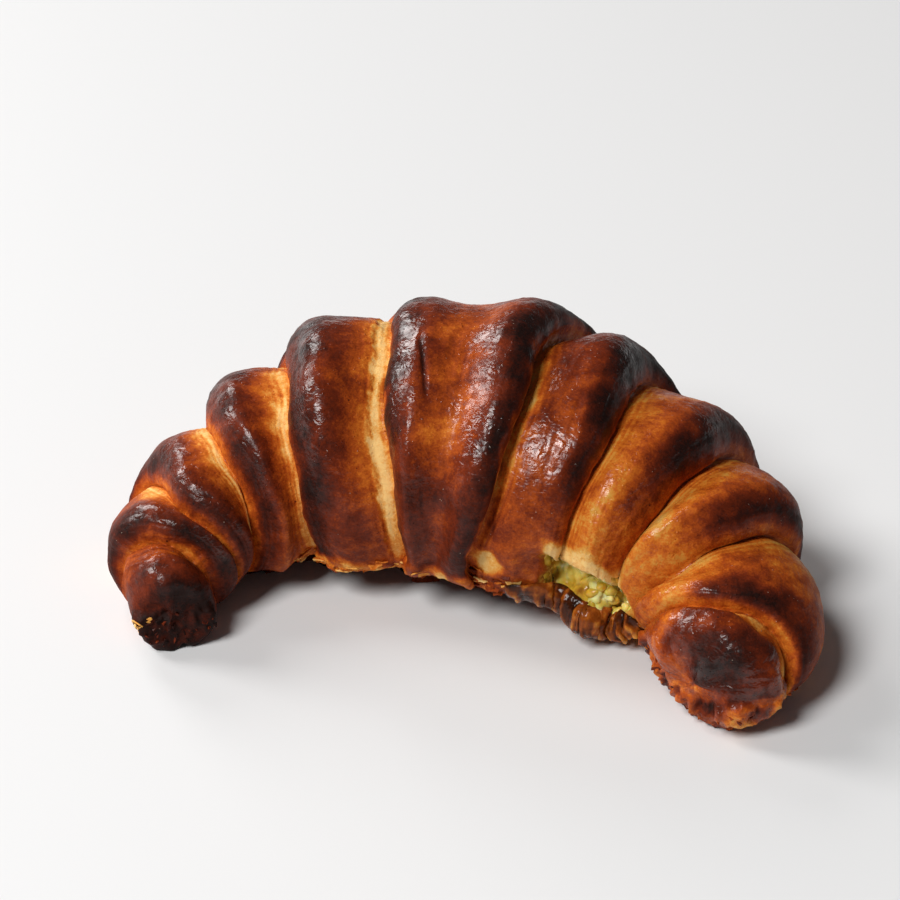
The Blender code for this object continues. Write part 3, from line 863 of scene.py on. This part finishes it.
# The moist crumb in the burst
# Wet, glossy, yellow-green crumb that the crust pulled away from: one humped mass that fills the pocket, and
# round lumps that broke out of it.
CRUMB_COLOURS = (
    (0.15, (0.24, 0.095, 0.008)),
    (0.4, (0.66, 0.38, 0.035)),
    (0.7, (0.88, 0.62, 0.12)),
    (1.0, (0.96, 0.83, 0.40)),
)
LUMPS = 15
crumb_finish = Finish("moist_crumb", Roughness=0.14, IOR=1.4, Subsurface_Weight=0.35, Subsurface_Scale=0.003)
cloud = crumb_finish.grain(1.8, 3.0)
crumb_finish.feed(crumb_finish.shader, {
    "Base Color": crumb_finish.ramp(CRUMB_COLOURS, crumb_finish.painted("pale") + (cloud - 0.5) * 0.6),
    "Normal": crumb_finish.bump(crumb_finish.grain(0.6, 2.0), 0.08),
})


def lump(centre_of, radii, seed):
    """An uneven rounded lump."""
    bm = bmesh.new()
    bmesh.ops.create_icosphere(bm, subdivisions=3, radius=1.0)
    ball = np.array([v.co for v in bm.verts])
    faces = [tuple(v.index for v in f.verts) for f in bm.faces]
    bm.free()
    swell = 1 + 0.3 * clouds(ball, 1.1, seed) + 0.12 * clouds(ball, 0.6, seed + 1)
    turn_by, _ = np.linalg.qr(np.random.default_rng(seed).normal(size=(3, 3)))
    turn_by *= np.sign(np.linalg.det(turn_by))
    return centre_of + (ball * swell[:, None] * radii) @ turn_by.T, faces


mass_s, mass_deg = np.linspace(25.5, 68.5, 110)[:, None], np.linspace(177.0, 207.0, 48)[None, :]
base, way = on_crust(mass_s, mass_deg)
humps = ridges(base, 3.3, 45) + layered(base, ((0.7, 1.7, 46), (0.2, 0.9, 47)))
fill = bump((mass_deg - 192.0) / 15.5) ** 0.5 * bump((mass_s - 47.0) / 22.0) ** 0.3
spots, faces = sheet(base + way * (fill * (0.9 + 1.1 * humps) - 1.4 * (1 - fill))[..., None], 0.5)
# The mass is painted darker in the hollows between its humps, as painted shade there, and paler along the top
# of the pocket.
shade = 0.26 + 0.36 * humps + 0.3 * clouds(base, 5.0, 48) + 0.3 * (1 - step(mass_deg, 181.0, 188.0))
shade = np.clip(shade, 0.0, 1.0).reshape(-1)
rng = np.random.default_rng(41)
parts = [(spots, faces, np.concatenate([shade, shade]))]
for k in range(LUMPS):
    s, deg = rng.triangular(32.0, 55.0, 66.0), rng.triangular(188.0, 198.0, 205.0)
    base, way = on_crust(s, deg)
    radius = rng.uniform(1.0, 2.3)
    radii = radius * np.array([1.0, rng.uniform(0.6, 0.95), rng.uniform(0.5, 0.8)])
    spots, faces = lump(base + way * (1.0 + rng.uniform(-0.5, 0.2) * radius), radii, 50 + 3 * k)
    parts.append((spots, faces, rng.choice((0.4, 0.55, 0.8))))
spots, faces, pale = gather(parts)
link("moist_crumb", build("moist_crumb", spots, faces, {"pale": pale}), crumb_finish)


# Torn flakes
# Thin bits of crust and dough that curl away from the torn places: along the left hem, round the lower edge
# of the right tip, at the end of the left tip, and beside the burst. Each group has its number of flakes, the
# span along the roll and the angles where they grow, and ranges of half width, lift and browning.
FLAKE_THICK, FLAKE_ROOT, FLAKE_LOWEST, FLAKE_GLOSS = 0.28, 0.25, 1.2, 0.15


def flake(s, deg, size, lift, toward_side, seed):
    """A thin ragged flake that grows out of the crust at a place, curling away from it."""
    base, way = on_crust(s, deg)
    aside, _ = on_crust(s + 0.8, deg)
    along_way = aside - base
    along_way /= max(np.linalg.norm(along_way), 1e-6)
    down_way = np.cross(way, along_way) * toward_side
    u = np.linspace(-1.0, 1.0, 13)[:, None]
    v = np.linspace(0.0, 1.0, 8)[None, :]
    edge_of = np.stack([u[:, 0] * size, 0 * u[:, 0], 0 * u[:, 0]], axis=-1)
    tall = 0.65 + 0.35 * clouds(edge_of, 1.3, seed)[:, None]
    out_by = lift * (v**1.4) * (0.7 + 0.5 * clouds(edge_of, 1.8, seed + 1)[:, None])
    sideways = along_way * (u * size * (1 - 0.25 * v))[..., None]
    outwards = down_way * (size * 0.9 * v * tall)[..., None] + way * (out_by - FLAKE_ROOT)[..., None]
    return sheet(base + sideways + outwards, FLAKE_THICK)


FLAKES = (
    ("hem_flakes", 40, (-44.0, -4.0), (205.0, 215.0), (0.8, 2.0), (0.3, 1.0), (0.06, 0.5)),
    ("right_tip_flakes", 150, (78.0, 99.0), (190.0, 335.0), (0.5, 1.3), (0.1, 0.5), (0.35, 0.85)),
    ("left_tip_flakes", 30, (-96.6, -93.0), (190.0, 350.0), (0.5, 1.2), (0.2, 0.7), (0.6, 1.0)),
    ("left_tip_layers", 9, (-94.8, -92.0), (330.0, 352.0), (0.9, 1.6), (0.1, 0.4), (0.0, 0.16)),
    ("burst_flakes", 26, (8.0, 20.0), (196.0, 214.0), (0.9, 2.0), (0.4, 1.3), (0.05, 0.8)),
)
for name, number, s_range, deg_range, sizes, lifts, bakes in FLAKES:
    parts = []
    for k in range(number):
        s, deg = rng.uniform(*s_range), rng.uniform(*deg_range)
        if on_crust(s, deg)[0][2] < FLAKE_LOWEST:
            continue
        size, lift, toward_side = rng.uniform(*sizes), rng.uniform(*lifts), rng.choice((-1.0, 1.0))
        spots, faces = flake(s, deg, size, lift, toward_side, 600 + 7 * k)
        parts.append((spots, faces, rng.uniform(*bakes)))
    spots, faces, baked = gather(parts)
    values = {"bake": baked, "olive": 0 * baked, "crumb": 0 * baked, "gloss": FLAKE_GLOSS + 0 * baked}
    link(name, build(name, spots, faces, values), crust_finish)
